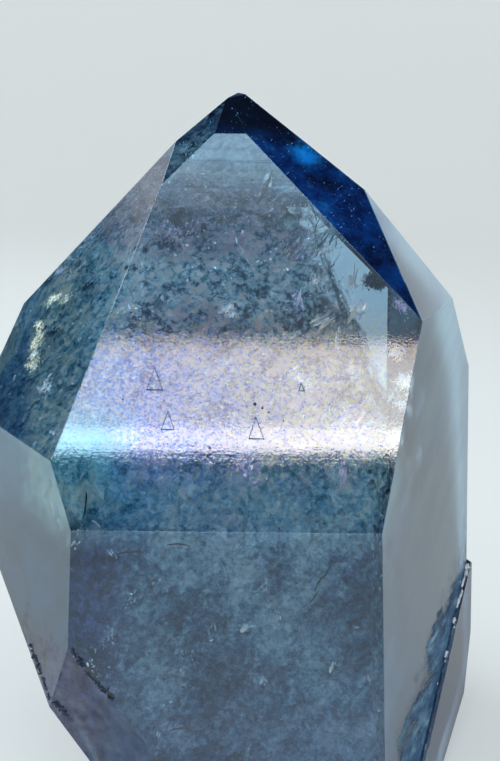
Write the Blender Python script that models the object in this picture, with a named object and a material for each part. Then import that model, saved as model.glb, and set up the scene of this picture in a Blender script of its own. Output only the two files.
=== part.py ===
"""A single natural quartz point whose faces carry a fused metal film, broken from its rock.

The crystal grew as one piece: a six-sided prism with a pyramid of six large faces, a few small
facets at the tip, and a thin plate of quartz overgrown on one rear side. Its foot is broken off
aslant on two sides and cut flat, and it stands on that cut. It is therefore one solid.
Metres, +Z up along the crystal's long axis, -Y the broad front face, origin at the middle of
the foot.
"""

import math

import bmesh
import bpy
from mathutils import Vector

MM = 0.001

# Each flat is (turn, tilt, distance): its normal is turned about the long axis by turn degrees
# from the front, anticlockwise seen from above, and tilted by tilt degrees from straight up. It
# lies distance mm from the middle of the crystal.
FRONT, BACK = 0.0, 180.0

PYRAMID = {
    "front": (FRONT, 52.25, 7.19),
    "front_right": (60.5, 52.2, 11.55),
    "front_left": (-59.4, 53.4, 11.03),
    "rear_right": (119.7, 51.4, 12.45),
    "rear_left": (-109.7, 49.4, 13.53),
    "rear": (BACK, 51.8, 15.18),
}
PRISM = {
    "front": (FRONT, 89.2, 13.35),
    "front_right": (63.6, 86.3, 11.19),
    "front_left": (-61.8, 89.0, 15.37),
    "rear_right": (120.0, 89.6, 15.73),
    "rear_left": (-119.7, 90.2, 13.75),
    "rear": (BACK, 90.0, 14.31),
}
TIP_FACETS = {
    "left_shoulder": (-9.57, 46.92, 8.74),
    "right_shoulder": (11.89, 46.18, 8.53),
    "brow": (-0.2, 48.4, 8.08),
    "chipped_tip": (-30.0, 15.0, 15.84),
}
# The thin plate that overgrew the rear right edge: its own outer faces, the broken border that
# runs down across the front right prism face, and the ends buried in the main crystal.
PLATE = {
    "face": (64.2, 86.6, 11.64),
    "side": (120.0, 89.6, 16.30),
    "broken_border": (-17.7, 34.8, -16.15),
    "broken_top": (90.0, 20.0, -7.03),
    "buried_rear": (BACK, 90.0, 10.57),
    "buried_inside": (-90.0, 90.0, -7.46),
}
# Where the crystal broke away from the rock, and the flat cut it stands on.
BREAKS = {
    "left_undercut": (-95.0, 124.4, 17.85),
    "left_chip": (-23.4, 106.6, 19.33),
    "right_chip": (100.0, 104.6, 20.93),
    "right_undercut": (100.0, 146.3, 27.09),
    "cut_foot": (BACK, 180.0, 24.88),
}

ROUGH_BLOCK = 90 * MM  # the block that the flats are cut from
WELD = 0.0005 * MM  # closer points than this are one point
ONE_FLAT = 0.02  # faces that turn less than this many degrees from each other are one flat

AURA_BLUE = (0.42, 0.66, 0.86, 1.0)
POLISH = 0.06
FILM_METAL = 0.2
QUARTZ_INDEX = 1.544


def outward(turn, tilt):
    """The unit normal of a flat that is turned and tilted by these degrees."""
    turn, tilt = math.radians(turn), math.radians(tilt)
    return Vector(
        (math.sin(turn) * math.sin(tilt), -math.cos(turn) * math.sin(tilt), math.cos(tilt))
    )


def cut_flats(bm, flats):
    """Cuts the solid back to each flat in turn, and closes each cut with one face."""
    for turn, tilt, distance in flats.values():
        normal = outward(turn, tilt)
        cut = bmesh.ops.bisect_plane(
            bm,
            geom=bm.verts[:] + bm.edges[:] + bm.faces[:],
            dist=WELD,
            plane_co=normal * distance * MM,
            plane_no=normal,
            clear_outer=True,
        )
        rim = [e for e in cut["geom_cut"] if isinstance(e, bmesh.types.BMEdge)]
        rim = [e for e in rim if e.is_boundary]
        if rim:
            bmesh.ops.contextual_create(bm, geom=rim)
    bmesh.ops.remove_doubles(bm, verts=bm.verts[:], dist=WELD)
    bmesh.ops.recalc_face_normals(bm, faces=bm.faces[:])


def cut_block(name, flats):
    """A named object: a block cut back to the flats."""
    bm = bmesh.new()
    bmesh.ops.create_cube(bm, size=ROUGH_BLOCK)
    cut_flats(bm, flats)
    mesh = bpy.data.meshes.new(name)
    bm.to_mesh(mesh)
    bm.free()
    solid = bpy.data.objects.new(name, mesh)
    bpy.context.scene.collection.objects.link(solid)
    return solid


def grow_together(crystal, plate):
    """Joins the overgrown plate into the crystal, so that both are one solid."""
    union = crystal.modifiers.new("overgrowth", "BOOLEAN")
    union.operation = "UNION"
    union.solver = "EXACT"
    union.object = plate
    evaluated = crystal.evaluated_get(bpy.context.evaluated_depsgraph_get())
    joined = bpy.data.meshes.new_from_object(evaluated)
    crystal.modifiers.remove(union)
    crystal.data = joined
    joined.name = crystal.name
    bpy.data.objects.remove(plate, do_unlink=True)


def break_from_rock(crystal):
    """Breaks the foot away on two sides and cuts it flat."""
    bm = bmesh.new()
    bm.from_mesh(crystal.data)
    cut_flats(bm, BREAKS)
    bmesh.ops.dissolve_limit(
        bm, angle_limit=math.radians(ONE_FLAT), verts=bm.verts[:], edges=bm.edges[:]
    )
    bm.to_mesh(crystal.data)
    bm.free()


def stand_on_foot(crystal):
    """Moves the mesh so that the middle of the foot's level, under the bounding box, is the origin."""
    points = [v.co for v in crystal.data.vertices]
    low = Vector([min(p[i] for p in points) for i in range(3)])
    high = Vector([max(p[i] for p in points) for i in range(3)])
    foot = Vector(((low.x + high.x) / 2, (low.y + high.y) / 2, low.z))
    for vertex in crystal.data.vertices:
        vertex.co -= foot


def aura_quartz():
    """Clear quartz under a thin fused film: see-through, blue, and a little metallic."""
    material = bpy.data.materials.new("aura_quartz")
    material.use_nodes = True
    shader = material.node_tree.nodes["Principled BSDF"]
    shader.inputs["Base Color"].default_value = AURA_BLUE
    shader.inputs["Roughness"].default_value = POLISH
    shader.inputs["Metallic"].default_value = FILM_METAL
    shader.inputs["IOR"].default_value = QUARTZ_INDEX
    shader.inputs["Transmission Weight"].default_value = 1.0
    return material


for old in list(bpy.data.objects):
    bpy.data.objects.remove(old, do_unlink=True)

prism = {f"prism_{side}": flat for side, flat in PRISM.items()}
crystal = cut_block("quartz_point", {**prism, **PYRAMID, **TIP_FACETS})
# The block's own lower end closes the plate, and the cut foot takes both lower ends off.
plate = cut_block("overgrown_plate", PLATE)
grow_together(crystal, plate)
break_from_rock(crystal)
stand_on_foot(crystal)
crystal.data.materials.append(aura_quartz())
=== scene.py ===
"""The looks of a natural quartz point with a fused metal film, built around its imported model."""

import math

import bmesh
import bpy
import numpy as np
from mathutils import Matrix, Vector, noise


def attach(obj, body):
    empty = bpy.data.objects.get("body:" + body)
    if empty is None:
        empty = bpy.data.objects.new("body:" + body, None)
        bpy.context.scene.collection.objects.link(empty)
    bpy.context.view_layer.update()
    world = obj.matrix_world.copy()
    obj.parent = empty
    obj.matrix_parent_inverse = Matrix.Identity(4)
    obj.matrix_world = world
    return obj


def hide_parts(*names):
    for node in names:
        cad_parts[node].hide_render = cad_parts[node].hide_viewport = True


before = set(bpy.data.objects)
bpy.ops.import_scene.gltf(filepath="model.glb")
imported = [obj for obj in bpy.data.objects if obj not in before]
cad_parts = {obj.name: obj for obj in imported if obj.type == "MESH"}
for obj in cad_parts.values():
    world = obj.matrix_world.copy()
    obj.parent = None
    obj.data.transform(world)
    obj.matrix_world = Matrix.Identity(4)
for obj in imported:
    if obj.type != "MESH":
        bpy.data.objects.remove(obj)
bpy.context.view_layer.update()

MM = 0.001

# --- Camera ---------------------------------------------------------------------------------
# A close-up lens a hand's width away, a little above the crystal's middle and a little to its
# left, rolled by two degrees.

AIM = Vector((0.188, -0.306, 24.88)) * MM
CAMERA_DISTANCE = 84.42 * MM
CAMERA_TURN = math.radians(-5.015)
CAMERA_RISE = math.radians(11.216)
CAMERA_ROLL = math.radians(2.133)
LENS = 64.2

bpy.ops.object.camera_add()
camera = bpy.context.object
camera.name = "close_up_camera"
camera.matrix_world = (
    Matrix.Translation(AIM)
    @ Matrix.Rotation(CAMERA_TURN, 4, "Z")
    @ Matrix.Rotation(math.pi / 2 - CAMERA_RISE, 4, "X")
    @ Matrix.Rotation(CAMERA_ROLL, 4, "Z")
    @ Matrix.Translation((0, 0, CAMERA_DISTANCE))
)
camera.data.lens = LENS
camera.data.clip_start = 1 * MM
bpy.context.scene.camera = camera
bpy.context.scene.view_settings.view_transform = "Standard"

# --- Floor ----------------------------------------------------------------------------------
# A seamless sweep of pale card: floor, cove and wall all round in one sheet, open at the top.

SWEEP_RADIUS = 550 * MM
SWEEP_HEIGHT = 205 * MM
COVE_RADIUS = 180 * MM
COVE_STEPS = 16
SWEEP_SIDES = 96

bpy.ops.object.select_all(action="DESELECT")
bpy.ops.mesh.primitive_cylinder_add(
    vertices=SWEEP_SIDES, radius=SWEEP_RADIUS, depth=SWEEP_HEIGHT, location=(0, 0, SWEEP_HEIGHT / 2)
)
sweep = bpy.context.object
sweep.name = "pale_sweep"
bpy.ops.object.transform_apply()
bpy.ops.object.mode_set(mode="EDIT")
bpy.ops.mesh.select_all(action="DESELECT")
shape = bmesh.from_edit_mesh(sweep.data)
for face in shape.faces:
    face.select_set(face.normal.z > 0.5)
bpy.ops.mesh.delete(type="ONLY_FACE")
for edge in shape.edges:
    edge.select_set(all(v.co.z < MM for v in edge.verts))
bpy.ops.mesh.bevel(offset=COVE_RADIUS, segments=COVE_STEPS)
bpy.ops.mesh.select_all(action="SELECT")
bpy.ops.mesh.normals_make_consistent(inside=True)
bpy.ops.object.mode_set(mode="OBJECT")
sweep.data.shade_smooth()


def open_finish(name):
    """A new material and its shader. The helpers below lay their nodes into the one opened last."""
    global nodes, links
    finish = bpy.data.materials.new(name)
    finish.use_nodes = True
    nodes, links = finish.node_tree.nodes, finish.node_tree.links
    return finish, nodes["Principled BSDF"]


def settle(socket, value):
    """Links one input to another node, or sets it."""
    if isinstance(value, bpy.types.NodeSocket):
        links.new(value, socket)
    else:
        socket.default_value = value


def feed(node, **values):
    """Settles inputs of a node by their names, with underscores for spaces."""
    for name, value in values.items():
        settle(node.inputs[name.replace("_", " ")], value)
    return node


def put(kind, **values):
    """A new node with these inputs."""
    return feed(nodes.new("ShaderNode" + kind), **values)


def object_place():
    """The place of each point in its object's own frame."""
    return put("TexCoord").outputs["Object"]


def axes_of(place):
    """The axes of a place, by their names X, Y and Z."""
    return put("SeparateXYZ", Vector=place).outputs


def fade(source, start, end, least=0.0, most=1.0):
    """A smooth step from least to most, while the source goes from start to end."""
    node = put("MapRange", Value=source, From_Min=start, From_Max=end, To_Min=least, To_Max=most)
    node.interpolation_type = "SMOOTHSTEP"
    return node.outputs["Result"]


def between(place, start, end, least=0.0, most=1.0):
    """A fade between two places in millimetres."""
    return fade(place, start * MM, end * MM, least, most)


def blend(share, first, second, way="MIX"):
    """Two colours mixed by a share."""
    node = put("Mix")
    node.data_type = "RGBA"
    node.blend_type = way
    colors = [(*value, 1) if isinstance(value, tuple) else value for value in (first, second)]
    return feed(node, Factor=share, A=colors[0], B=colors[1]).outputs["Result"]


CARD_GLOW = (0.95, 1.0, 0.985)
CARD_PALE = (0.64, 0.66, 0.655)
CARD_DARK = (0.07, 0.11, 0.16)

card, shader = open_finish("pale_card")
feed(shader, Roughness=0.9, Specular_IOR_Level=0.0, Emission_Strength=0.405)
# The light falls off towards the front of the sweep.
falloff = between(axes_of(object_place())["Y"], -200, 60, 0.09)
feed(shader, Emission_Color=blend(falloff, (0, 0, 0), CARD_GLOW))
feed(shader, Base_Color=blend(falloff, CARD_DARK, CARD_PALE))
sweep.data.materials.append(card)

# --- Light ----------------------------------------------------------------------------------
# Soft panels hang high over the front. Others fill in from the front and from the left, and two
# stand behind, in a dim room.

LIGHT_DISTANCE = 400 * MM
DARK_ROOM = (0.02, 0.03, 0.05, 1)

room = bpy.data.worlds.new("dim_room")
room.use_nodes = True
feed(room.node_tree.nodes["Background"], Color=DARK_ROOM)
bpy.context.scene.world = room


def hang_panel(name, turn, low, high, width, radiance, color):
    """A soft panel that the crystal sees between two heights, in degrees above the horizon."""
    turn, middle = math.radians(turn), math.radians((low + high) / 2)
    away = Vector((math.sin(turn) * math.cos(middle), -math.cos(turn) * math.cos(middle), math.sin(middle)))
    bpy.ops.object.light_add(type="AREA", location=AIM + away * LIGHT_DISTANCE)
    panel = bpy.context.object
    panel.name = name
    panel.rotation_euler = away.to_track_quat("Z", "Y").to_euler()
    panel.data.shape = "RECTANGLE"
    panel.data.size = width
    panel.data.size_y = LIGHT_DISTANCE * math.radians(high - low)
    panel.data.color = color
    panel.data.energy = radiance * math.pi * panel.data.size * panel.data.size_y


WHITE = (1, 1, 1)
# the soft edge of a panel is made of strips this high, each a little brighter than the last
DUSK = 0.8
FRONT_TURN, FRONT_WIDTH = 0.5, 330 * MM
BACK_TURN, BACK_WIDTH = -136, 170 * MM
BACK_COLOR = (1.0, 0.98, 0.98)
hang_panel("panel_edge", FRONT_TURN, 59.7, 60.9, FRONT_WIDTH, 7.2, WHITE)
hang_panel("panel", FRONT_TURN, 60.9, 65.3, FRONT_WIDTH, 3.7, WHITE)
hang_panel("panel_haze", FRONT_TURN, 65.3, 69.3, FRONT_WIDTH, 0.4, (0.80, 0.93, 1.0))
for step, radiance in enumerate((0.4, 0.5, 0.7, 1.0, 1.4, 1.9)):
    low = 69.3 + DUSK * step
    hang_panel(f"panel_dusk_{step}", FRONT_TURN, low, low + DUSK, FRONT_WIDTH, radiance, (0.80, 0.97, 1.06))
hang_panel("panel_sky", FRONT_TURN, 74.1, 79.0, FRONT_WIDTH, 2.6, (0.76, 1.0, 1.16))
hang_panel("front_fill", -8, 16.0, 50.0, 460 * MM, 2.6, (0.95, 1.0, 1.05))
hang_panel("left_fill", -105, 32.0, 50.0, 340 * MM, 5.5, (0.9, 1.0, 1.05))
for step, radiance in enumerate((0.25, 0.5, 0.8)):
    low = 26.8 + DUSK * step
    hang_panel(f"back_dusk_{step}", BACK_TURN, low, low + DUSK, BACK_WIDTH, radiance, BACK_COLOR)
hang_panel("back_panel", BACK_TURN, 29.2, 36.0, BACK_WIDTH, 1.1, BACK_COLOR)
hang_panel("side_panel", 132, 8.0, 30.0, 220 * MM, 0.6, WHITE)

# --- Crystal --------------------------------------------------------------------------------
# One natural quartz crystal under a fused metal film. Its growth faces are flat and faintly
# striated, with small triangular growth marks; its broken places are rippled and frosted.

EDGE_WEAR = 0.022 * MM
WELD = 0.001 * MM
FLAT_TURN = math.radians(0.1)
SAME_WAY = 0.9995


def raw_point(name):
    """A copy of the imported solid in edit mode, with one face for each flat."""
    bpy.ops.object.select_all(action="DESELECT")
    solid = bpy.data.objects.new(name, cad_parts["quartz_point"].data.copy())
    bpy.context.scene.collection.objects.link(solid)
    solid.data.materials.clear()
    bpy.context.view_layer.objects.active = solid
    solid.select_set(True)
    bpy.ops.object.mode_set(mode="EDIT")
    bpy.ops.mesh.select_all(action="SELECT")
    bpy.ops.mesh.remove_doubles(threshold=WELD)
    bpy.ops.mesh.dissolve_limited(angle_limit=FLAT_TURN)
    return solid


crystal = raw_point("crystal")
bpy.ops.object.mode_set(mode="OBJECT")
crystal.data.shade_flat()

# Every outer flat, as its normal and its distance from the origin, keeps the inclusions inside.
NEARLY_OUTER = 0.7 * MM
corners = np.array([v.co for v in crystal.data.vertices])
flats = [
    (np.array(face.normal), face.normal.dot(face.center))
    for face in crystal.data.polygons
    if (corners @ np.array(face.normal)).max() - face.normal.dot(face.center) < NEARLY_OUTER
]
flat_normals = np.array([normal for normal, _ in flats])
flat_distances = np.array([distance for _, distance in flats])


def depth_inside(points):
    """How far each point lies below the nearest outer flat."""
    return (flat_distances - points @ flat_normals.T).min(axis=1)


bpy.ops.object.mode_set(mode="EDIT")
bpy.ops.mesh.select_all(action="SELECT")
bpy.ops.mesh.bevel(offset=EDGE_WEAR, segments=2, clamp_overlap=True)
bpy.ops.object.mode_set(mode="OBJECT")

# Growth marks: slim triangles outlined by a groove, all pointing up the front slope.
SLOPE_WAY = Vector((0, -0.791, 0.612)).normalized()
SLOPE_UP = Vector((0, 0.612, 0.791)).normalized()
MARK_HEIGHT = 1.38 * MM
MARK_WIDTH = 0.89 * MM
MARK_GROOVE = 0.08 * MM
# A ring of three sides is an even triangle, one and a half radii high.
RING_HEIGHT = 1.5
EVEN_TRIANGLE = 0.866
# each mark's name, place in millimetres and size
growth_marks = [
    ("mark_left", Vector((-5.85, -8.33, 26.25)), 1.0),
    ("mark_faint", Vector((-5.1, -9.9, 24.3)), 0.8),
    ("mark_low", Vector((-0.22, -10.1, 23.95)), 0.95),
    ("mark_small", Vector((2.4, -8.3, 26.0)), 0.35),
]
slope_level = max(SLOPE_WAY.dot(v.co) for v in crystal.data.vertices)
for name, place, size in growth_marks:
    bpy.ops.object.select_all(action="DESELECT")
    bpy.ops.mesh.primitive_torus_add(
        major_segments=3,
        minor_segments=4,
        major_radius=MARK_HEIGHT * size / RING_HEIGHT,
        minor_radius=MARK_GROOVE,
    )
    groove = bpy.context.object
    groove.name = name
    on_slope = place * MM + SLOPE_WAY * (slope_level - SLOPE_WAY.dot(place * MM))
    slim = MARK_WIDTH / MARK_HEIGHT * EVEN_TRIANGLE
    columns = (SLOPE_UP, SLOPE_WAY.cross(SLOPE_UP) * slim, SLOPE_WAY)
    groove.data.transform(Matrix.Translation(on_slope) @ Matrix(columns).transposed().to_4x4())
    crystal.select_set(True)
    bpy.context.view_layer.objects.active = crystal
    carve = crystal.modifiers.new(name, "BOOLEAN")
    carve.operation = "DIFFERENCE"
    carve.solver = "EXACT"
    carve.object = groove
    bpy.ops.object.modifier_apply(modifier=name)
    bpy.data.objects.remove(groove)

# Broken places: each is cut into a fine grid, then rippled like a shell about one centre.
# each place's name, the way it faces, and the width of its grid in millimetres
break_ways = [
    ("left_undercut", Vector((-0.822, 0.072, -0.565)), 0.5),
    ("left_chip", Vector((-0.381, -0.88, -0.286)), 0.16),
    ("right_chip", Vector((0.953, 0.168, -0.252)), 0.16),
    ("right_undercut", Vector((0.546, 0.096, -0.832)), 0.3),
    ("broken_border", Vector((-0.174, -0.544, 0.821)), 0.1),
    ("broken_top", Vector((0.342, 0, 0.94)), 0.1),
]
for name, way, step in break_ways:
    way.normalize()
    shape = bmesh.new()
    shape.from_mesh(crystal.data)
    across = way.orthogonal().normalized()
    broken = [f for f in shape.faces if f.normal.dot(way) > SAME_WAY]
    for direction in (across, way.cross(across)):
        reaches = [direction.dot(v.co) for f in broken for v in f.verts]
        for cut in np.arange(min(reaches) + step * MM, max(reaches), step * MM):
            broken = [f for f in shape.faces if f.normal.dot(way) > SAME_WAY]
            edges = {edge for f in broken for edge in f.edges}
            region = broken + list(edges) + list({v for f in broken for v in f.verts})
            bmesh.ops.bisect_plane(
                shape, geom=region, plane_co=direction * cut, plane_no=direction, dist=WELD
            )
    shape.to_mesh(crystal.data)
    shape.free()

# The finish finds its zones by values that the faces carry.
GROOVE_TOP = slope_level - MARK_GROOVE * 0.1
GROOVE_TILT = 0.99
mark_places = [place * MM for _, place, _ in growth_marks]
grooved = crystal.data.attributes.new("grooved", "FLOAT", "FACE")
for face in crystal.data.polygons:
    on_mark = any((face.center - place).length < MARK_HEIGHT for place in mark_places)
    below = SLOPE_WAY.dot(face.center) < GROOVE_TOP and face.normal.dot(SLOPE_WAY) < GROOVE_TILT
    grooved.data[face.index].value = float(on_mark and below)
RIGHT_WAY = Vector((0.894, -0.444, 0.065))
LEFT_WAY = Vector((-0.881, -0.472, 0.017))
ALIKE = 0.999
VERY_SAME_WAY = 0.99998
growth_faces = [
    ("etched", [SLOPE_WAY], SAME_WAY),
    ("dulled", [RIGHT_WAY, LEFT_WAY, Vector((0.688, -0.389, 0.613))], ALIKE),
    ("bordered", [RIGHT_WAY], VERY_SAME_WAY),
    ("plate", [Vector((0.899, -0.434, 0.059))], VERY_SAME_WAY),
    ("broken", [way for _, way, _ in break_ways], SAME_WAY),
]
for zone_name, ways, closeness in growth_faces:
    zone = crystal.data.attributes.new(zone_name, "FLOAT", "FACE")
    for face in crystal.data.polygons:
        belongs = any(face.normal.dot(way.normalized()) > closeness for way in ways)
        zone.data[face.index].value = float(belongs)

RIPPLE_HEIGHT = 0.05 * MM
RIPPLE_LENGTH = 0.9 * MM
RIPPLE_CENTRE = Vector((-16, -10, 4)) * MM
ROUGH_SIZE = 1.1 * MM
broken_zone = crystal.data.attributes["broken"].data
lean = {vertex.index: [] for vertex in crystal.data.vertices}
for face in crystal.data.polygons:
    if broken_zone[face.index].value:
        face.use_smooth = True
    for index in face.vertices:
        lean[index].append((broken_zone[face.index].value, face.normal.copy()))
for index, around in lean.items():
    if all(is_broken for is_broken, _ in around):
        vertex = crystal.data.vertices[index]
        rough = noise.fractal(vertex.co / ROUGH_SIZE, 0.8, 2.1, 5)
        ripple = math.sin((vertex.co - RIPPLE_CENTRE).length / RIPPLE_LENGTH * math.tau)
        vertex.co -= around[0][1] * RIPPLE_HEIGHT * (1.2 + 0.5 * ripple + 3.0 * abs(rough))
        # the foot stays flat
        vertex.co.z = max(vertex.co.z, 0.0)


def summed(kind, operation, values):
    """The outputs of a maths node that does one operation on these values."""
    node = put(kind)
    node.operation = operation
    for socket, value in zip(node.inputs, values):
        settle(socket, value)
    return node.outputs


def plus(*values):
    return summed("Math", "ADD", values)["Value"]


def minus(*values):
    return summed("Math", "SUBTRACT", values)["Value"]


def times(*values):
    return summed("Math", "MULTIPLY", values)["Value"]


def larger(*values):
    return summed("Math", "MAXIMUM", values)["Value"]


def smaller(*values):
    return summed("Math", "MINIMUM", values)["Value"]


def vectors(operation, *values):
    """One operation on vectors. A dot product or a distance gives a number."""
    gives_number = operation in ("DOT_PRODUCT", "DISTANCE")
    return summed("VectorMath", operation, values)["Value" if gives_number else "Vector"]


def noise_at(place, **values):
    """Cloudy noise about one half."""
    return put("TexNoise", Vector=place, **values).outputs["Fac"]


def ramp_of(source, stops):
    """A colour ramp through these (place, colour) stops."""
    node = put("ValToRGB", Fac=source)
    for index, (place, color) in enumerate(stops):
        stop = node.color_ramp.elements[index] if index < 2 else node.color_ramp.elements.new(place)
        stop.position = place
        stop.color = (*color, 1)
    return node.outputs["Color"]


def carried(name):
    """What the faces carry under this name, as a number and as a colour."""
    node = put("Attribute")
    node.attribute_name = name
    return node.outputs


# Drawn noise: fine across one direction and long along another, for growth lines and streaks.
drawn = bpy.data.node_groups.new("drawn_noise", "ShaderNodeTree")
for name, kind, value in (
    ("Across", "NodeSocketVector", (0, 0, 1)),
    ("Along", "NodeSocketVector", (1, 0, 0)),
    ("Fine", "NodeSocketFloat", 2600.0),
    ("Long", "NodeSocketFloat", 60.0),
    ("Detail", "NodeSocketFloat", 3.0),
):
    drawn.interface.new_socket(name, in_out="INPUT", socket_type=kind).default_value = value
drawn.interface.new_socket("Value", in_out="OUTPUT", socket_type="NodeSocketFloat")
nodes, links = drawn.nodes, drawn.links
given = nodes.new("NodeGroupInput").outputs
where = object_place()
finely = times(vectors("DOT_PRODUCT", where, given["Across"]), given["Fine"])
slowly = times(vectors("DOT_PRODUCT", where, given["Along"]), given["Long"])
laid = put("CombineXYZ", X=finely, Y=slowly).outputs["Vector"]
feed(nodes.new("NodeGroupOutput"), Value=noise_at(laid, Scale=1.0, Detail=given["Detail"], Roughness=0.6))


def drawn_of(across, along, fine, long, detail=3.0):
    """The drawn noise laid into one material."""
    node = put("Group")
    node.node_tree = drawn
    return feed(node, Across=across, Along=along, Fine=fine, Long=long, Detail=detail).outputs["Value"]


FILM_METAL = 0.1
QUARTZ_INDEX = 1.544
DEPTH_TINT = (0.30, 0.62, 0.82, 1)
DEPTH_DENSITY = 40.0

film, shader = open_finish("aura_film_on_quartz")
feed(shader, Metallic=FILM_METAL, IOR=QUARTZ_INDEX, Transmission_Weight=1.0)
depth = put("VolumeAbsorption", Color=DEPTH_TINT, Density=DEPTH_DENSITY)
feed(nodes["Material Output"], Volume=depth.outputs["Volume"])
where = object_place()
axes = axes_of(where)
zones = {name: carried(name)["Fac"] for name, _, _ in growth_faces}

# film colour: a pale blue that clouds, broken into grains of colour over part of the front slope; the
# grains are the film's own iridescence and partly a painted reflection, laid only in the band where the
# high panel is mirrored
grain = noise_at(where, Scale=4900.0, Detail=6.0, Roughness=0.8)
cool_grains = [
    (0.32, (0.04, 0.12, 0.50)),
    (0.42, (0.14, 0.34, 0.95)),
    (0.50, (0.50, 0.48, 1.0)),
    (0.57, (0.90, 0.80, 0.84)),
    (0.66, (1.0, 0.88, 0.42)),
]
warm_grains = [
    (0.30, (0.18, 0.16, 0.44)),
    (0.40, (0.42, 0.40, 0.90)),
    (0.48, (0.88, 0.70, 0.80)),
    (0.56, (1.0, 0.90, 0.50)),
    (0.68, (1.0, 1.0, 0.95)),
]
cool = ramp_of(grain, cool_grains)
warm = ramp_of(grain, warm_grains)
patches = noise_at(where, Scale=700.0, Detail=2.0)
drift = between(axes["X"], -9.5, 6.0, -0.15, 1.15)
patchy = plus(drift, minus(patches, 0.5))
patchy_share = larger(smaller(patchy, 1.0), 0.0)
film_and_reflection_grains = blend(patchy_share, cool, warm)
cyan_left = between(axes["X"], -6.0, -9.2)
cyan_low = times(cyan_left, between(axes["Z"], 25.8, 23.2, 0.1, 0.85))
film_and_reflection_grains = blend(cyan_low, film_and_reflection_grains, (0.22, 0.78, 1.0))
warm_right = times(between(axes["X"], 4.0, 8.6), between(axes["Z"], 29.0, 26.0, 0.1, 0.7))
film_and_reflection_grains = blend(warm_right, film_and_reflection_grains, (1.0, 1.0, 0.90))
gold_rim = times(between(axes["Z"], 26.8, 28.4, 0.0, 0.7), fade(grain, 0.40, 0.54))
film_and_reflection_grains = blend(gold_rim, film_and_reflection_grains, (0.66, 0.47, 0.26))
clouding = noise_at(where, Scale=420.0, Detail=5.0)
plain = ramp_of(clouding, [(0.3, (0.44, 0.64, 0.78)), (0.7, (0.62, 0.78, 0.88))])
fine_lines = drawn_of(Vector((0, 0, 1)), Vector((1, 1, 0)), 2600.0, 60.0, 2.0)
line_color = ramp_of(fine_lines, [(0.36, (0.72, 0.78, 0.84)), (0.5, (1, 1, 1)), (0.7, (1.0, 1.0, 1.0))])
upper = between(axes["Z"], 33.5, 36.0)
plain = blend(times(upper, zones["etched"]), plain, line_color, "MULTIPLY")
# painted reflection, partly: the grains fill only the band of the front slope where the high panel is
# mirrored
high_fade = between(axes["Z"], 31.5, 28.4, 0.10)
low_fade = between(axes["Z"], 21.0, 22.4, 0.25)
grained_reflection_band = times(zones["etched"], times(high_fade, low_fade))
color = blend(grained_reflection_band, plain, film_and_reflection_grains)

# hazy streaks lean along the dull faces, and turn them bluer towards their lower right
BORDER_ALONG = Vector((-0.367, -0.806, -0.463))
BORDER_ACROSS = Vector((0.258, 0.390, -0.884))
hazy = drawn_of(BORDER_ACROSS, BORDER_ALONG, 420.0, 90.0, 5.0)
haze_stops = [(0.36, (0.50, 0.57, 0.70)), (0.5, (0.61, 0.72, 0.77)), (0.64, (0.72, 0.84, 0.82))]
haze_color = ramp_of(hazy, haze_stops)
cold_foot = between(axes["Z"], 24.0, 8.0, 0.0, 0.85)
haze_color = blend(cold_foot, haze_color, (0.48, 0.74, 0.93))
cool_left = between(axes["X"], 0.0, -4.0, 0.0, 0.75)
haze_color = blend(cool_left, haze_color, (0.72, 1.0, 1.0))
color = blend(times(zones["dulled"], 0.85), color, haze_color)

# painted shade: a dark blue band follows the border of the lower right plate
BORDER_LEVEL = -4.1 * MM
BORDER_BAND_WIDTH = 4.6 * MM
SEAM_LUMPS = 7.0 * MM
across = vectors("DOT_PRODUCT", where, BORDER_ACROSS)
seam_lumps = noise_at(where, Scale=620.0, Detail=6.0, Roughness=0.75)
lumpy = times(minus(seam_lumps, 0.5), SEAM_LUMPS)
border_band_level = plus(across, lumpy)
painted_border_band = fade(border_band_level, BORDER_LEVEL - BORDER_BAND_WIDTH, BORDER_LEVEL - 0.3 * MM)
painted_border_band = times(painted_border_band, zones["bordered"])
seam_specks = noise_at(where, Scale=1100.0, Detail=4.0, Roughness=0.75)
border_band_color = ramp_of(
    seam_specks,
    [
        (0.40, (0.0, 0.02, 0.10)),
        (0.50, (0.02, 0.11, 0.30)),
        (0.57, (0.16, 0.36, 0.54)),
        (0.64, (0.7, 0.9, 1.0)),
    ],
)
color = blend(painted_border_band, color, border_band_color)

# the plate beyond the painted shade band is a greyer violet
color = blend(zones["plate"], color, (0.10, 0.17, 0.32))

# the grooves of the growth marks are darker
color = blend(carried("grooved")["Fac"], color, (0.16, 0.26, 0.38))

# broken places keep a greyer, more violet film
sand = plus(seam_lumps, seam_specks)
chalk = ramp_of(
    times(sand, 0.5),
    [
        (0.40, (0.22, 0.26, 0.36)),
        (0.5, (0.62, 0.61, 0.72)),
        (0.60, (1.0, 0.97, 1.0)),
    ],
)
blue_right = between(axes["X"], -10.4, -7.0, 0.0, 0.7)
chalk = blend(blue_right, chalk, (0.16, 0.30, 0.48))
crumbling_z = plus(axes["Z"], lumpy)
crumbling = times(cool_left, between(crumbling_z, 13.4, 11.6, 0.0, 1.04))
crumbling = times(crumbling, zones["dulled"])
color = blend(larger(crumbling, zones["broken"]), color, chalk)
feed(shader, Base_Color=color)

POLISH = 0.03
dullness = times(zones["dulled"], 0.27)
breaks = times(zones["broken"], 0.3)
roughness = plus(plus(dullness, breaks), POLISH)
feed(shader, Roughness=roughness)

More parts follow.
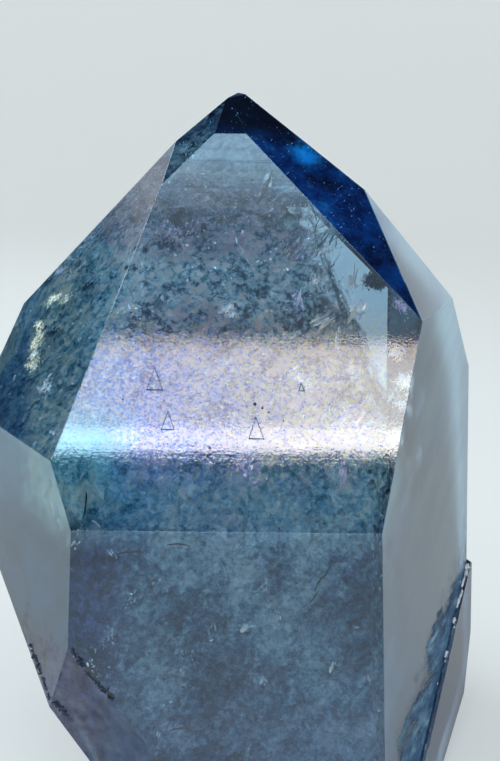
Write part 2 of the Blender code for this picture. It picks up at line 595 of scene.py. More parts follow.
# etched relief: fine grains on the slope, and growth lines that run level round the crystal
relief = noise_at(where, Scale=7500.0, Detail=2.0)
etch_share = times(relief, times(grained_reflection_band, 1.2))
sandy = times(seam_lumps, times(zones["broken"], 30.0))
heights = plus(plus(etch_share, fine_lines), sandy)
RELIEF = 0.0009 * MM
bump = put("Bump", Strength=1.0, Distance=RELIEF, Height=heights)
feed(shader, Normal=bump.outputs["Normal"])
crystal.data.materials.append(film)
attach(crystal, "root")
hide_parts("quartz_point")

# --- Milky root -----------------------------------------------------------------------------
# The lower body is clouded by countless healed cracks. Seen through the clear outside they
# make one mottled mass, pale and teal in its crown and deep blue below.

ROOT_CENTRE = Vector((-1.0, 0.5, 15.0)) * MM
ROOT_COVER = 0.9 * MM
ROOT_LUMPS = 1.3 * MM
LUMP_SIZE = 3.0 * MM
PEAK_SIZE = 4.5 * MM
CROWN_LUMPS = 1.1 * MM
LEFT_THINNING = 0.62
NO_SLOPE = 1e-4

# The clear tip and the clear right shoulder stand beyond these levels of cloud.
root_limits = [((0.0, 0.0, 1.0), 37.1), ((0.936, 0.0, 0.353), 16.66), ((0.3, 0.75, 0.59), 27.0)]
limit_normals = np.array([normal for normal, _ in root_limits])
limit_distances = np.array([distance for _, distance in root_limits]) * MM
all_normals = np.vstack([flat_normals, limit_normals])
all_distances = np.concatenate([flat_distances, limit_distances])

bpy.ops.object.select_all(action="DESELECT")
bpy.ops.mesh.primitive_ico_sphere_add(subdivisions=7, radius=1.0)
milky_root = bpy.context.object
milky_root.name = "milky_root"
space = all_distances - all_normals @ np.array(ROOT_CENTRE)
for vertex in milky_root.data.vertices:
    way = vertex.co.normalized()
    slope = all_normals @ np.array(way)
    reach = (space[slope > NO_SLOPE] / slope[slope > NO_SLOPE]).min()
    spot = ROOT_CENTRE + way * reach
    lumps = max(noise.fractal(spot / LUMP_SIZE, 0.7, 2.0, 6) * 0.5 + 0.5, 0)
    peaks = max(noise.fractal(spot / PEAK_SIZE, 0.8, 2.0, 5) * 0.6 + 0.5, 0) * max(way.z - 0.6, 0) / 0.4
    # the clear layer thins out on the lower left
    thin = min(max((-0.45 - way.x) / 0.25, 0), 1) * min(max((0.64 - way.z) / 0.1, 0), 1)
    cover = (ROOT_COVER + ROOT_LUMPS * lumps) * (1 - LEFT_THINNING * thin)
    vertex.co = ROOT_CENTRE + way * (reach - cover - CROWN_LUMPS * peaks)
milky_root.data.shade_smooth()


def cells_at(place, scale, feature="F1"):
    """A pattern of cells, each with a random colour."""
    node = put("TexVoronoi", Vector=place, Scale=scale)
    node.feature = feature
    return node.outputs


def colors_of(cells):
    """The parts of the cells' random colours, by their names."""
    return put("SeparateColor", Color=cells["Color"]).outputs


milk, shader = open_finish("healed_cracks")
feed(shader, Roughness=0.35, Metallic=0.12)
WARP = 0.5 * MM
CONTRAST = 1.95
where = object_place()
axes = axes_of(where)
swirl = put("TexNoise", Vector=where, Scale=1200.0, Detail=5.0, Roughness=0.65).outputs["Color"]
shifted = vectors("MULTIPLY_ADD", swirl, (WARP, WARP, WARP), where)
mottle = noise_at(shifted, Scale=470.0, Detail=12.0, Roughness=0.84)
shards = cells_at(shifted, 2400.0)
shard_tone = colors_of(shards)
soft_cells = cells_at(shifted, 2600.0, "SMOOTH_F1")
crown = between(axes["Z"], 17.6, 20.0)
shard_share = minus(shard_tone["Red"], 0.5)
shard_share = times(shard_share, between(axes["Z"], 21.0, 25.0, 0.10, 0.15))
cell_share = times(minus(0.4, soft_cells["Distance"]), 0.22)
cell_share = times(cell_share, between(axes["Z"], 21.0, 25.0, 0.5, 1.0))
fine_grains = noise_at(where, Scale=3200.0, Detail=4.0, Roughness=0.75)
grain_share = times(minus(fine_grains, 0.5), 0.62)
wisps = drawn_of(Vector((0.75, 0, -0.66)), Vector((0.66, 0.2, 0.75)), 900.0, 170.0, 5.0)
wisp_share = times(minus(wisps, 0.5), 0.45)
left_lift = between(axes["X"], -6.5, -10.0, 0.0, -0.01)
tone = plus(plus(mottle, left_lift), shard_share)
tone = plus(plus(tone, cell_share), wisp_share)
tone = plus(tone, grain_share)
calm = smaller(between(axes["Z"], 21.5, 25.0, 0.45, 1.0), between(axes["X"], -9.5, -6.0, 0.55, 1.0))
tone_about = times(minus(tone, 0.48), CONTRAST)
cloud_level = between(axes["Z"], 23.5, 26.0, 0.51, 0.48)
cloud_tone = plus(times(tone_about, calm), cloud_level)
cloud_color = ramp_of(
    cloud_tone,
    [
        (0.22, (0.01, 0.05, 0.13)),
        (0.33, (0.07, 0.28, 0.44)),
        (0.46, (0.28, 0.64, 0.82)),
        (0.58, (0.72, 0.98, 1.0)),
        (0.72, (1.0, 1.0, 1.0)),
    ],
)
broad = noise_at(where, Scale=110.0, Detail=3.0)
body_tone = times(minus(tone, 0.49), 0.85)
body_tone = plus(body_tone, times(broad, 0.7))
body_tone = plus(body_tone, 0.15)
body_color = ramp_of(
    body_tone,
    [
        (0.34, (0.01, 0.03, 0.11)),
        (0.43, (0.05, 0.13, 0.28)),
        (0.51, (0.14, 0.29, 0.46)),
        (0.58, (0.30, 0.52, 0.66)),
        (0.70, (0.70, 0.86, 0.95)),
    ],
)
navy = between(axes["X"], -6.0, -9.3)
navy = larger(navy, between(axes["Z"], 13.0, 5.0, 0.0, 0.5))
body_color = blend(navy, body_color, (0.20, 0.30, 0.70), "MULTIPLY")
color = blend(crown, body_color, cloud_color)
mauve_spots = noise_at(where, Scale=330.0, Detail=3.0)
mauve_here = fade(mauve_spots, 0.52, 0.66, 0.0, 0.35)
mauve_top = between(axes["Z"], 31.4, 33.2, 0.0, 0.85)
mauve = larger(mauve_here, mauve_top)
color = blend(mauve, color, (0.62, 0.52, 0.66), "MULTIPLY")
grey_left = between(axes["X"], -8.0, -10.0)
color = blend(grey_left, color, (1.0, 0.84, 0.76), "MULTIPLY")
navy_rim = between(axes["X"], -11.6, -13.4)
color = blend(navy_rim, color, (0.22, 0.42, 0.66), "MULTIPLY")
feed(shader, Base_Color=color)
# each shard leans its own way, so the mass glitters like broken glass
off_centre = vectors("SUBTRACT", shifted, shards["Position"])
lean = vectors("SUBTRACT", shards["Color"], (0.5, 0.5, 0.5))
bump = put("Bump", Distance=1.2, Height=vectors("DOT_PRODUCT", off_centre, lean))
feed(shader, Normal=bump.outputs["Normal"])
# painted glints: bright points strewn through the crown glow by emission
glint_cells = cells_at(where, 3000.0)
glint_tone = colors_of(glint_cells)
glint_size = times(fade(glint_tone["Red"], 0.45, 1.0), 0.26)
glint = fade(minus(glint_cells["Distance"], glint_size), 0.04, -0.06)
glint = times(glint, between(axes["Z"], 19.0, 25.0, 0.25, 1.0))
glint_color = ramp_of(
    glint_tone["Green"],
    [
        (0.2, (0.10, 0.26, 0.34)),
        (0.5, (0.34, 0.50, 0.56)),
        (0.7, (0.42, 0.42, 0.62)),
        (0.9, (0.62, 0.62, 0.52)),
    ],
)
feed(shader, Emission_Color=blend(glint, (0, 0, 0), glint_color), Emission_Strength=0.75)
milky_root.data.materials.append(milk)

# the cloud thins out towards the clear tip and the clear right shoulder
fringe = milk.copy()
fringe.name = "thinning_cracks"
nodes, links = fringe.node_tree.nodes, fringe.node_tree.links
where = object_place()
axes = axes_of(where)
to_shoulder = vectors("DOT_PRODUCT", where, root_limits[1][0])
shoulder_room = minus(root_limits[1][1] * MM, to_shoulder)
tip_room = minus(root_limits[0][1] * MM, axes["Z"])
edge_room = smaller(shoulder_room, tip_room)
tears = noise_at(where, Scale=800.0, Detail=6.0, Roughness=0.7)
RAGGED = 9 * MM
ragged = times(minus(tears, 0.5), RAGGED)
thick = fade(plus(edge_room, ragged), 0.9 * MM, 3.2 * MM)
feed(nodes["Principled BSDF"], Alpha=thick)
milky_root.data.materials.append(fringe)
FRINGE = 5.5 * MM
for face in milky_root.data.polygons:
    room_left = limit_distances - limit_normals @ np.array(face.center)
    face.material_index = int(room_left[:2].min() < FRINGE)
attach(milky_root, "root")

# --- Painted shade under the tip ------------------------------------------------------------
# Painted shade: thin dark sheets lie just under the small front facets of the tip, and turn them a deep,
# nearly black blue with one brighter painted glow.

SHADE_SHEET_WAYS = [Vector((0.149, -0.706, 0.692)), Vector((-0.003, -0.748, 0.664))]
SHADE_SHEET_MARGIN = 0.02 * MM
SHADE_SHEET_COVER = 0.09 * MM
SHADE_SHEET_THICKNESS = 0.03 * MM
GLOW_PLACE = (3.42 * MM, 2.2 * MM, 38.9 * MM)

tip_shade = raw_point("tip_shade_sheets")
bpy.ops.mesh.select_all(action="DESELECT")
shape = bmesh.from_edit_mesh(tip_shade.data)
for face in shape.faces:
    face.select_set(not any(face.normal.dot(way.normalized()) > SAME_WAY for way in SHADE_SHEET_WAYS))
bpy.ops.mesh.delete(type="FACE")
bpy.ops.mesh.select_mode(type="FACE")
bpy.ops.mesh.select_all(action="SELECT")
bpy.ops.mesh.inset(thickness=SHADE_SHEET_MARGIN, use_individual=True)
bpy.ops.mesh.select_all(action="INVERT")
bpy.ops.mesh.delete(type="FACE")
bpy.ops.mesh.select_mode(type="VERT")
bpy.ops.object.mode_set(mode="OBJECT")
for face in list(tip_shade.data.polygons):
    for index in face.vertices:
        tip_shade.data.vertices[index].co -= face.normal * SHADE_SHEET_COVER
wall = tip_shade.modifiers.new("wall", "SOLIDIFY")
wall.thickness = SHADE_SHEET_THICKNESS
wall.offset = -1
bpy.ops.object.modifier_apply(modifier="wall")

tip_shade_finish, shader = open_finish("painted_tip_shade")
where = object_place()
axes = axes_of(where)
tip_shade_mottle = noise_at(where, Scale=520.0, Detail=8.0, Roughness=0.7)
tip_shade_color = ramp_of(
    tip_shade_mottle,
    [
        (0.36, (0.001, 0.012, 0.07)),
        (0.48, (0.002, 0.06, 0.30)),
        (0.60, (0.004, 0.14, 0.55)),
        (0.74, (0.03, 0.40, 0.9)),
    ],
)
# painted glow: one brighter azure patch glows by emission
from_glow = vectors("DISTANCE", where, GLOW_PLACE)
glow = between(from_glow, 1.7, 0.1, 0.0, 0.8)
glow = times(glow, fade(tip_shade_mottle, 0.35, 0.6))
tip_shade_color = blend(glow, tip_shade_color, (0.01, 0.55, 1.0))
feed(shader, Emission_Color=blend(glow, (0, 0, 0), (0.004, 0.18, 0.55)), Emission_Strength=0.9)
# painted shade: the sheets turn nearly black towards the top
black_top = between(axes["Z"], 39.0, 40.6, 0.0, 0.93)
tip_shade_color = blend(black_top, tip_shade_color, (0.001, 0.003, 0.01))
feed(shader, Base_Color=tip_shade_color, Roughness=0.6, Specular_IOR_Level=0.08)
tip_shade.data.materials.append(tip_shade_finish)
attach(tip_shade, "root")

# --- Fracture flakes ------------------------------------------------------------------------
# Healed cracks: each is a curved sheet of hundreds of tiny flat pockets that mirror the light
# like foil or turn it away. Many small sheets fill the crown, and a few nests stand out.

# Each flake also glows in its own colour: a painted highlight, as bright as its shine.
rng = np.random.default_rng(7)

# A flake is a flat five-sided pocket with a tip on each side.
FLAKE_SIDES = 5
FLAKE_THICKNESS = 0.012 * MM
rim_angles = np.linspace(0, 2 * math.pi, FLAKE_SIDES, endpoint=False)
flake_shape = np.array([[math.cos(a), math.sin(a), 0] for a in rim_angles] + [[0, 0, 1], [0, 0, -1]])
rim = [(i, (i + 1) % FLAKE_SIDES) for i in range(FLAKE_SIDES)]
flake_faces = np.array([[i, j, FLAKE_SIDES] for i, j in rim] + [[j, i, FLAKE_SIDES + 1] for i, j in rim])

PALE = [(1.0, 1.0, 0.95), (0.80, 0.92, 1.0), (0.60, 0.82, 0.92)]
TEAL = [(0.30, 0.52, 0.62), (0.18, 0.36, 0.46), (0.45, 0.66, 0.76)]
LAVENDER = [(0.72, 0.74, 1.0), (0.60, 0.60, 0.92), (0.86, 0.84, 1.0)]
MAUVE = [(0.30, 0.27, 0.38), (0.20, 0.20, 0.30), (0.40, 0.40, 0.50)]
DARK = [(0.005, 0.015, 0.035), (0.015, 0.05, 0.11), (0.01, 0.03, 0.07)]
RAINBOW = [(1.0, 0.45, 0.40), (0.35, 1.0, 0.60), (0.40, 0.60, 1.0), (1.0, 0.95, 0.45), (1.0, 1.0, 1.0)]

CRACK_SHINE = 0.22
SHEET_BOW = 0.25


def flake_sheet(centre, radius, count, way, jitter, length, palette, drawn_way=None, shine=CRACK_SHINE):
    """One healed crack: (places, bases, sizes, colours) of its flakes, over a bowed ragged disc.
    Where drawn_way is given, the flakes are long needles along it."""
    normal = np.array(way) / np.linalg.norm(way)
    side = np.cross(normal, [0.3, 0.2, 0.93])
    side /= np.linalg.norm(side)
    other = np.cross(normal, side)
    disc = rng.normal(size=(count, 2)) * radius * 0.45
    places = centre + disc[:, :1] * side + disc[:, 1:] * other
    bowed = SHEET_BOW * (disc**2).sum(axis=1, keepdims=True) / radius
    places += normal * (bowed + rng.normal(size=(count, 1)) * 0.05 * MM)
    tilted = normal + rng.normal(size=(count, 3)) * jitter
    tilted /= np.linalg.norm(tilted, axis=1, keepdims=True)
    spread = 0.5 if drawn_way is None else 0.22
    long_way = (other if drawn_way is None else drawn_way) + rng.normal(size=(count, 3)) * spread
    long_way -= (long_way * tilted).sum(axis=1, keepdims=True) * tilted
    long_way /= np.linalg.norm(long_way, axis=1, keepdims=True)
    bases = np.stack([np.cross(tilted, long_way), long_way, tilted], axis=1)
    widths = rng.lognormal(math.log(length * 0.45), 0.45, count).clip(0.02, 0.4) * MM
    lengths = widths * rng.uniform(1.0, 3.2, count) * (1.0 if drawn_way is None else 2.2)
    sizes = np.stack([widths, lengths, np.full(count, FLAKE_THICKNESS)], axis=1)
    tints = np.array(palette)[rng.integers(len(palette), size=count)]
    return places, bases, sizes, np.c_[tints, shine * rng.lognormal(0, 0.5, count)]


sheets = []
SHEET_TRIES = 900
CROWN_LOW = np.array([-12.5, -11.5, 20.0])
CROWN_HIGH = np.array([11.0, 9.0, 36.0])
STREAK_WAY = np.array([-0.53, -0.255, -0.81])
STREAKED_PART = 0.75
DARK_LOW, MAUVE_LOW = 27.0 * MM, 32.6 * MM
cover_centres = rng.uniform(CROWN_LOW, CROWN_HIGH, (SHEET_TRIES, 3)) * MM
cover_depths = depth_inside(cover_centres)
root_room = (limit_distances - cover_centres @ limit_normals.T).min(axis=1)
for centre, under, room_left in zip(cover_centres, cover_depths, root_room):
    if not 0.6 * MM < under < 3.0 * MM or room_left < 0.2 * MM:
        continue
    streaked = centre[0] > 0.5 * MM and rng.random() < STREAKED_PART
    way = rng.normal(size=3)
    choice = rng.random()
    dark_here = choice >= 0.93 and centre[2] >= DARK_LOW
    palette = PALE if choice < 0.50 else TEAL if choice < 0.80 else DARK if dark_here else LAVENDER
    if centre[2] > MAUVE_LOW and centre[0] < 1.0 * MM:
        palette = MAUVE
    radius = rng.lognormal(math.log(0.9), 0.4) * MM
    count = int(rng.integers(30, 120))
    drawn_way = STREAK_WAY if streaked else None
    sheets.append(flake_sheet(centre, radius, count, way, 0.3, 0.11, palette, drawn_way))

BODY_TRIES = 150
BODY_LOW = np.array([-11.5, -13.6, 3.0])
BODY_HIGH = np.array([10.0, -11.0, 20.0])
body_centres = rng.uniform(BODY_LOW, BODY_HIGH, (BODY_TRIES, 3)) * MM
for centre, under in zip(body_centres, depth_inside(body_centres)):
    if 0.25 * MM < under < 1.6 * MM:
        palette = (PALE, TEAL, TEAL, TEAL)[rng.integers(4)]
        radius = rng.lognormal(math.log(0.7), 0.4) * MM
        count = int(rng.integers(8, 30))
        sheets.append(flake_sheet(centre, radius, count, rng.normal(size=3), 0.2, 0.09, palette))

GOLD = [(1.0, 0.86, 0.50), (1.0, 1.0, 0.90), (0.80, 0.96, 1.0), (0.42, 0.42, 0.32), (0.10, 0.12, 0.12)]
# each nest's place and radius in millimetres, its flakes in one sheet, their length and colours
nests = [
    ((-4.75, -1.1, 34.7), 0.36, 260, 0.07, DARK),
    ((-4.5, -0.8, 35.0), 0.22, 120, 0.06, DARK),
    ((-4.5, -0.9, 34.0), 1.1, 30, 0.07, LAVENDER),
    ((-3.07, -1.4, 34.3), 0.26, 170, 0.06, DARK),
    ((-3.9, 2.3, 38.5), 0.9, 120, 0.09, TEAL),
    ((-3.9, 2.3, 38.5), 1.0, 90, 0.09, DARK),
    ((8.0, -6.2, 27.8), 0.7, 160, 0.05, PALE),
    ((8.45, -7.4, 26.3), 0.7, 200, 0.05, PALE),
    ((8.4, -7.8, 24.85), 0.7, 200, 0.05, PALE),
    ((7.8, -9.6, 23.4), 0.6, 140, 0.05, PALE),
    ((8.4, -4.3, 30.4), 0.5, 80, 0.05, LAVENDER),
    ((-6.5, -1.7, 32.7), 0.25, 50, 0.05, DARK),
    ((-7.1, -2.4, 31.6), 0.2, 40, 0.05, DARK),
    ((-8.0, -4.9, 29.6), 0.45, 20, 0.06, RAINBOW),
    ((-7.2, -4.8, 29.8), 0.55, 22, 0.06, RAINBOW),
    ((-6.72, -5.5, 28.95), 0.4, 16, 0.06, RAINBOW),
    ((-11.95, 1.05, 29.25), 0.5, 120, 0.075, GOLD),
    ((-11.0, -0.3, 29.45), 0.45, 110, 0.075, GOLD),
    ((-12.6, 0.05, 27.8), 0.6, 170, 0.08, GOLD),
    ((-12.8, -0.9, 27.2), 0.6, 130, 0.08, GOLD),
    ((-13.05, -2.2, 25.75), 0.45, 90, 0.07, GOLD),
    ((-12.75, -1.3, 26.8), 0.5, 110, 0.075, GOLD),
    ((-12.72, -1.98, 26.24), 0.5, 120, 0.075, GOLD),
    ((-12.6, -2.4, 25.7), 0.55, 120, 0.08, GOLD),
    ((-11.5, 0.55, 29.5), 0.4, 80, 0.07, GOLD),
    ((-11.6, -1.6, 27.6), 0.7, 60, 0.09, DARK),
    ((2.0, -0.8, 33.4), 1.0, 34, 0.08, LAVENDER),
    ((3.0, -1.4, 32.6), 1.0, 34, 0.08, LAVENDER),
    ((3.6, -2.4, 31.2), 0.8, 24, 0.06, PALE),
    ((6.9, -3.3, 31.55), 0.50, 330, 0.08, DARK),
    ((7.3, -3.5, 31.3), 0.42, 260, 0.08, DARK),
    ((6.7, -3.0, 31.7), 0.22, 80, 0.05, TEAL),
    ((1.9, 0.2, 35.3), 0.25, 90, 0.06, DARK),
    ((8.7, -4.3, 30.1), 0.5, 50, 0.08, LAVENDER),
]
GOLD_SHINE = 0.6
RAINBOW_SHINE = 0.4
nest_sheets = []
for place, radius, count, length, palette in nests:
    for way in rng.normal(size=(3, 3)):
        shine = GOLD_SHINE if palette is GOLD else RAINBOW_SHINE if palette is RAINBOW else CRACK_SHINE
        centre = np.array(place) * MM
        nest = flake_sheet(centre, radius * MM, count, way, 0.4, length, palette, shine=shine)
        nest_sheets.append(nest)

# Bright points by themselves, over the whole crown, each with a stronger painted glow.
POINT_TRIES = 9000
POINT_SHINE = 0.7
point_places = rng.uniform(CROWN_LOW, CROWN_HIGH, (POINT_TRIES, 3)) * MM
point_depths = depth_inside(point_places)
near_front = (point_depths > 0.35 * MM) & (point_depths < 1.6 * MM)
near_front &= (limit_distances - 0.6 * MM > point_places @ limit_normals.T).all(axis=1)
for place in point_places[near_front]:
    point = flake_sheet(place, 0.05 * MM, 1, rng.normal(size=3), 0.4, 0.05, PALE, shine=POINT_SHINE)
    nest_sheets.append(point)

foil, shader = open_finish("crack_foil")
tone = carried("tone")
where = object_place()
tarnish = noise_at(where, Scale=1400.0, Detail=3.0)
tarnish_color = ramp_of(tarnish, [(0.3, (0.5, 0.6, 0.7)), (0.6, (1, 1, 1))])
foil_color = blend(1.0, tone["Color"], tarnish_color, "MULTIPLY")
feed(shader, Base_Color=foil_color)
# painted highlight: the flakes glow by emission in their own colour, scaled by the shine each carries
shine = blend(1.0, foil_color, tone["Alpha"], "MULTIPLY")
feed(shader, Emission_Color=shine, Emission_Strength=1.0, Metallic=0.25, Roughness=0.25)


def scatter(name, verts, one_faces, finish):
    """One piece of many loose grains: their corners, grain by grain, and the faces of one."""
    starts = verts.shape[1] * np.arange(len(verts))[:, None, None]
    mesh = bpy.data.meshes.new(name)
    mesh.from_pydata(verts.reshape(-1, 3).tolist(), [], (one_faces[None] + starts).reshape(-1, 3).tolist())
    mesh.materials.append(finish)
    film_and_reflection_grains = bpy.data.objects.new(name, mesh)
    bpy.context.scene.collection.objects.link(film_and_reflection_grains)
    return film_and_reflection_grains


# The sheets strewn through the crown are one piece, and the nests with the single points another.
FLAKE_MARGIN = 0.3 * MM
for piece_name, cracks in (("fracture_flakes", sheets), ("flake_nests", nest_sheets)):
    places, bases, sizes, colors = (np.concatenate(parts) for parts in zip(*cracks))
    inside = depth_inside(places) > FLAKE_MARGIN
    places, bases, sizes, colors = places[inside], bases[inside], sizes[inside], colors[inside]
    count = len(places)
    shapes = np.repeat(flake_shape[None], count, axis=0)
    shapes[:, :FLAKE_SIDES, :2] *= rng.uniform(0.5, 1.15, (count, FLAKE_SIDES, 1))
    verts = places[:, None, :] + (shapes * sizes[:, None, :]) @ bases
    # a flake whose tip would come out through a face is left out
    sealed = depth_inside(verts.reshape(-1, 3)).reshape(count, -1).min(axis=1) > 0
    verts, colors = verts[sealed], colors[sealed]
    flakes = scatter(piece_name, verts, flake_faces, foil)
    tones = flakes.data.attributes.new("tone", "FLOAT_COLOR", "FACE")
    face_colors = np.repeat(colors, len(flake_faces), axis=0).astype(np.float32)
    tones.data.foreach_set("color", face_colors.ravel())
    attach(flakes, "root")

# --- Slivers --------------------------------------------------------------------------------
# Open cracks that stand alone in the clear quartz: a long lance, curved arcs, feathers and
# fibres, some black and some white, each a thin tapered lens.


def sliver(start, end, width, bow, facing):
    """A thin tapered lens from start to end, bowed sideways, with its flat side turned to facing."""
    start, end, facing = Vector(start) * MM, Vector(end) * MM, Vector(facing).normalized()
    along = (end - start) / 2
    side = along.cross(facing).normalized()
    bpy.ops.mesh.primitive_uv_sphere_add(segments=8, ring_count=16, radius=1.0)
    lens = bpy.context.object
    for vertex in lens.data.vertices:
        x, y, z = vertex.co
        wave = noise.noise(Vector((z * 2.5, start.x / MM, start.z / MM))) * 0.35
        spot = (start + end) / 2 + along * z
        spot += side * MM * (width * x * (1 + wave) + bow * (1 - z * z) + wave * width * 0.6)
        vertex.co = spot + facing * y * min(width * 0.3, 0.04) * MM
    lens.data.shade_smooth()
    return lens


def face_outward():
    """Turns the faces of the active piece outward."""
    bpy.ops.object.mode_set(mode="EDIT")
    bpy.ops.mesh.select_all(action="SELECT")
    bpy.ops.mesh.normals_make_consistent(inside=False)
    bpy.ops.object.mode_set(mode="OBJECT")


def join_slivers(name, pieces, base, roughness):
    """The slivers or grains of one finish as one piece."""
    bpy.ops.object.select_all(action="DESELECT")
    for piece in pieces:
        piece.select_set(True)
    bpy.context.view_layer.objects.active = pieces[0]
    bpy.ops.object.join()
    joined = bpy.context.object
    joined.name = name
    face_outward()
    finish, shader = open_finish(name + "_finish")
    where = object_place()
    uneven = noise_at(where, Scale=1800.0, Detail=4.0)
    shades = [(0.3, tuple(c * 0.5 for c in base)), (0.65, base)]
    feed(shader, Base_Color=ramp_of(uneven, shades), Roughness=roughness)
    joined.data.materials.append(finish)
    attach(joined, "root")
    return joined


SEE_SLOPE = (0.04, 0.95, -0.30)
SEE_FRONT = (0.04, 1.0, -0.2)
# each sliver's two ends, its half width and its bow in millimetres, and where its flat side faces
dark_slivers = [
    ((1.25, 1.9, 37.5), (0.2, 0.3, 35.4), 0.09, 0.1, SEE_SLOPE),
    ((1.0, 1.7, 36.9), (0.5, 0.9, 35.7), 0.05, -0.1, SEE_SLOPE),
    ((-7.75, -13.55, 17.95), (-6.3, -13.55, 18.1), 0.06, 0.10, SEE_FRONT),
    ((-5.1, -13.55, 18.5), (-3.8, -13.55, 18.45), 0.05, 0.10, SEE_FRONT),
    ((-4.7, -13.6, 7.9), (-3.5, -13.6, 8.0), 0.06, 0.12, SEE_FRONT),
    ((-9.45, -11.8, 20.8), (-9.55, -12.8, 19.6), 0.05, 0.05, SEE_FRONT),
    ((3.8, -13.2, 17.6), (3.4, -13.2, 16.6), 0.05, 0.05, SEE_FRONT),
    ((3.4, -13.2, 16.8), (3.0, -13.2, 15.9), 0.06, -0.05, SEE_FRONT),
    ((3.2, -13.2, 16.0), (2.7, -13.2, 15.2), 0.04, 0.05, SEE_FRONT),
    ((9.05, -8.78, 15.7), (9.75, -7.6, 14.4), 0.05, 0.03, (-0.894, 0.444, -0.065)),
    ((4.6, -0.6, 33.9), (3.3, -1.2, 32.7), 0.04, 0.15, SEE_SLOPE),
    ((4.2, -0.9, 33.2), (2.8, -1.6, 31.6), 0.04, -0.1, SEE_SLOPE),
    ((3.4, 0.9, 35.6), (3.9, 0.2, 34.4), 0.04, 0.1, SEE_SLOPE),
    ((-9.85, -13.7, 13.6), (-9.7, -13.7, 12.3), 0.06, 0.03, SEE_FRONT),
    ((-9.75, -13.7, 12.4), (-9.1, -13.7, 11.5), 0.09, -0.05, SEE_FRONT),
    ((-9.2, -13.7, 11.6), (-8.4, -13.7, 10.5), 0.07, 0.04, SEE_FRONT),
    ((-8.5, -13.7, 10.6), (-7.7, -13.7, 9.9), 0.10, 0.0, SEE_FRONT),
]
white_slivers = [
    ((0.3, -3.2, 31.65), (2.7, -2.6, 32.45), 0.07, 0.12, SEE_SLOPE),
    ((0.9, -3.0, 31.9), (1.9, -2.9, 32.1), 0.08, 0.25, SEE_SLOPE),
    ((-2.3, -1.9, 32.5), (-1.9, -2.1, 31.9), 0.06, 0.15, SEE_SLOPE),
    ((-0.9, -3.4, 30.6), (-0.3, -3.5, 30.0), 0.04, 0.1, SEE_SLOPE),
    ((5.95, -2.6, 32.5), (5.6, -3.8, 30.9), 0.04, 0.08, SEE_SLOPE),
    ((6.2, -2.7, 32.2), (5.9, -3.7, 31.0), 0.04, -0.1, SEE_SLOPE),
    ((6.5, -2.8, 31.9), (6.3, -3.6, 30.9), 0.05, 0.06, SEE_SLOPE),
    ((-9.8, -11.5, 21.1), (-9.4, -10.85, 21.9), 0.06, 0.1, SEE_FRONT),
    ((-9.2, -11.8, 20.8), (-8.9, -12.0, 20.4), 0.07, 0.05, SEE_FRONT),
    ((-9.1, -12.8, 19.5), (-8.65, -13.0, 19.15), 0.06, 0.05, SEE_FRONT),
    ((5.2, -13.5, 13.9), (5.5, -13.5, 13.95), 0.06, 0.0, SEE_FRONT),
    ((-2.1, -13.3, 17.4), (-1.9, -13.3, 16.8), 0.03, 0.03, SEE_FRONT),
    ((-1.7, -13.3, 17.1), (-1.4, -13.3, 16.3), 0.03, -0.04, SEE_FRONT),
    ((-1.5, -13.3, 16.1), (-1.3, -13.3, 15.6), 0.03, 0.02, SEE_FRONT),
    ((-2.4, -13.3, 16.5), (-2.2, -13.3, 16.0), 0.02, 0.02, SEE_FRONT),
    ((1.0, 2.4, 37.0), (2.0, 1.7, 35.9), 0.03, 0.1, SEE_SLOPE),
    ((2.6, 1.1, 35.9), (1.4, 0.4, 34.4), 0.03, 0.2, SEE_SLOPE),
    ((3.0, 0.9, 35.2), (2.4, 0.0, 33.6), 0.03, -0.2, SEE_SLOPE),
    ((1.9, 1.0, 36.3), (1.1, 0.6, 34.9), 0.03, -0.15, SEE_SLOPE),
]

# Fine needles stand like grass to the right of the lance.
NEEDLE_COUNT = 46
for index in range(NEEDLE_COUNT):
    foot = np.array([rng.uniform(0.9, 4.6), 0, rng.uniform(32.0, 35.2)])
    foot[1] = -1.2 + (foot[2] - 33.0) * 1.25 + rng.uniform(0.0, 0.8)
    rise = -STREAK_WAY * rng.uniform(0.5, 1.7) + rng.normal(size=3) * 0.22
    row = (foot, foot + rise, rng.uniform(0.015, 0.035), rng.uniform(-0.2, 0.2), SEE_SLOPE)
    (dark_slivers if index % 3 == 0 else white_slivers).append(row)
join_slivers("dark_slivers", [sliver(*row) for row in dark_slivers], (0.012, 0.02, 0.035), 0.3)
join_slivers("white_slivers", [sliver(*row) for row in white_slivers], (0.95, 0.98, 1.0), 0.35)

# --- Hexagonal plate ------------------------------------------------------------------------
# A thin dark six-sided plate, grown in the clear quartz to the right of the lance.

PLATE_PLACE = Vector((2.2, -0.85, 34.62)) * MM
PLATE_HALF = Vector((0.48, 0.72, 0.05)) * MM
PLATE_SPIN = math.radians(16)

bpy.ops.object.select_all(action="DESELECT")
bpy.ops.mesh.primitive_cylinder_add(vertices=6, radius=1.0, depth=2.0)
hex_plate = bpy.context.object
hex_plate.name = "hex_plate"
bpy.ops.object.mode_set(mode="EDIT")
bpy.ops.mesh.select_all(action="SELECT")
bpy.ops.mesh.bevel(offset=0.12, segments=1)
bpy.ops.object.mode_set(mode="OBJECT")
plate_turn = Vector((-0.25, -0.9, 0.35)).to_track_quat("Z", "Y").to_matrix().to_4x4()
plate_turn = plate_turn @ Matrix.Rotation(PLATE_SPIN, 4, "Z")
hex_plate.data.transform(Matrix.Translation(PLATE_PLACE) @ plate_turn @ Matrix.Diagonal((*PLATE_HALF, 1)))
slate, shader = open_finish("dark_plate")
where = object_place()
flecks = noise_at(where, Scale=1500.0, Detail=6.0, Roughness=0.7)
axes = axes_of(where)
fleck_stops = [(0.38, (0.02, 0.08, 0.12)), (0.52, (0.10, 0.26, 0.34)), (0.64, (0.5, 0.7, 0.75))]
fleck_color = ramp_of(flecks, fleck_stops)
black_head = between(axes["Z"], 34.8, 35.1)
